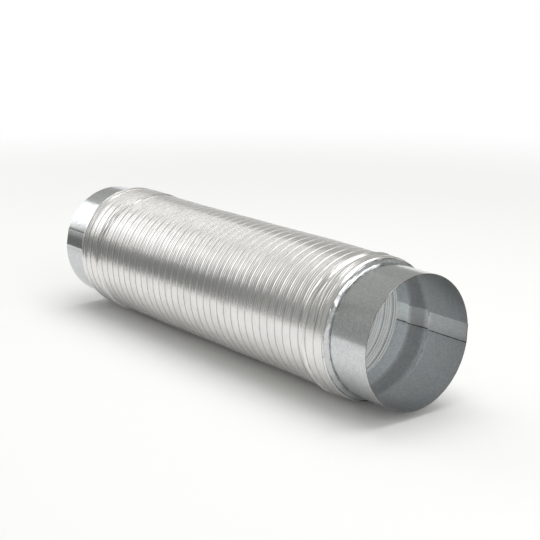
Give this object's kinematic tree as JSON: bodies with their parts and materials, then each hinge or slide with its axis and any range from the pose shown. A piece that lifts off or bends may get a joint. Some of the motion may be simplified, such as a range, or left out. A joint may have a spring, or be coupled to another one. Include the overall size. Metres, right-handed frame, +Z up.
{
  "type": "flexible aluminium duct",
  "caption": "Short straight length of corrugated aluminium ventilation hose with a plain galvanised steel spigot collar fixed in each end, lying on its side.",
  "frame": {"origin": "on the floor under the middle of the duct, which lies on its side", "axes": "+X along the duct's axis, out of the front mouth; +Z up"},
  "size_m": [0.5, 0.1382, 0.1383],
  "materials": {
    "aluminium_strip": "bright rolled foil, finely ribbed, lightly creased at the ends",
    "galvanised_sheet": "hot-dip galvanised, satin, fine spangle"
  },
  "bodies": {
    "root": {"hose": "aluminium_strip", "front_collar": "galvanised_sheet", "back_collar": "galvanised_sheet"}
  },
  "joints": []
}
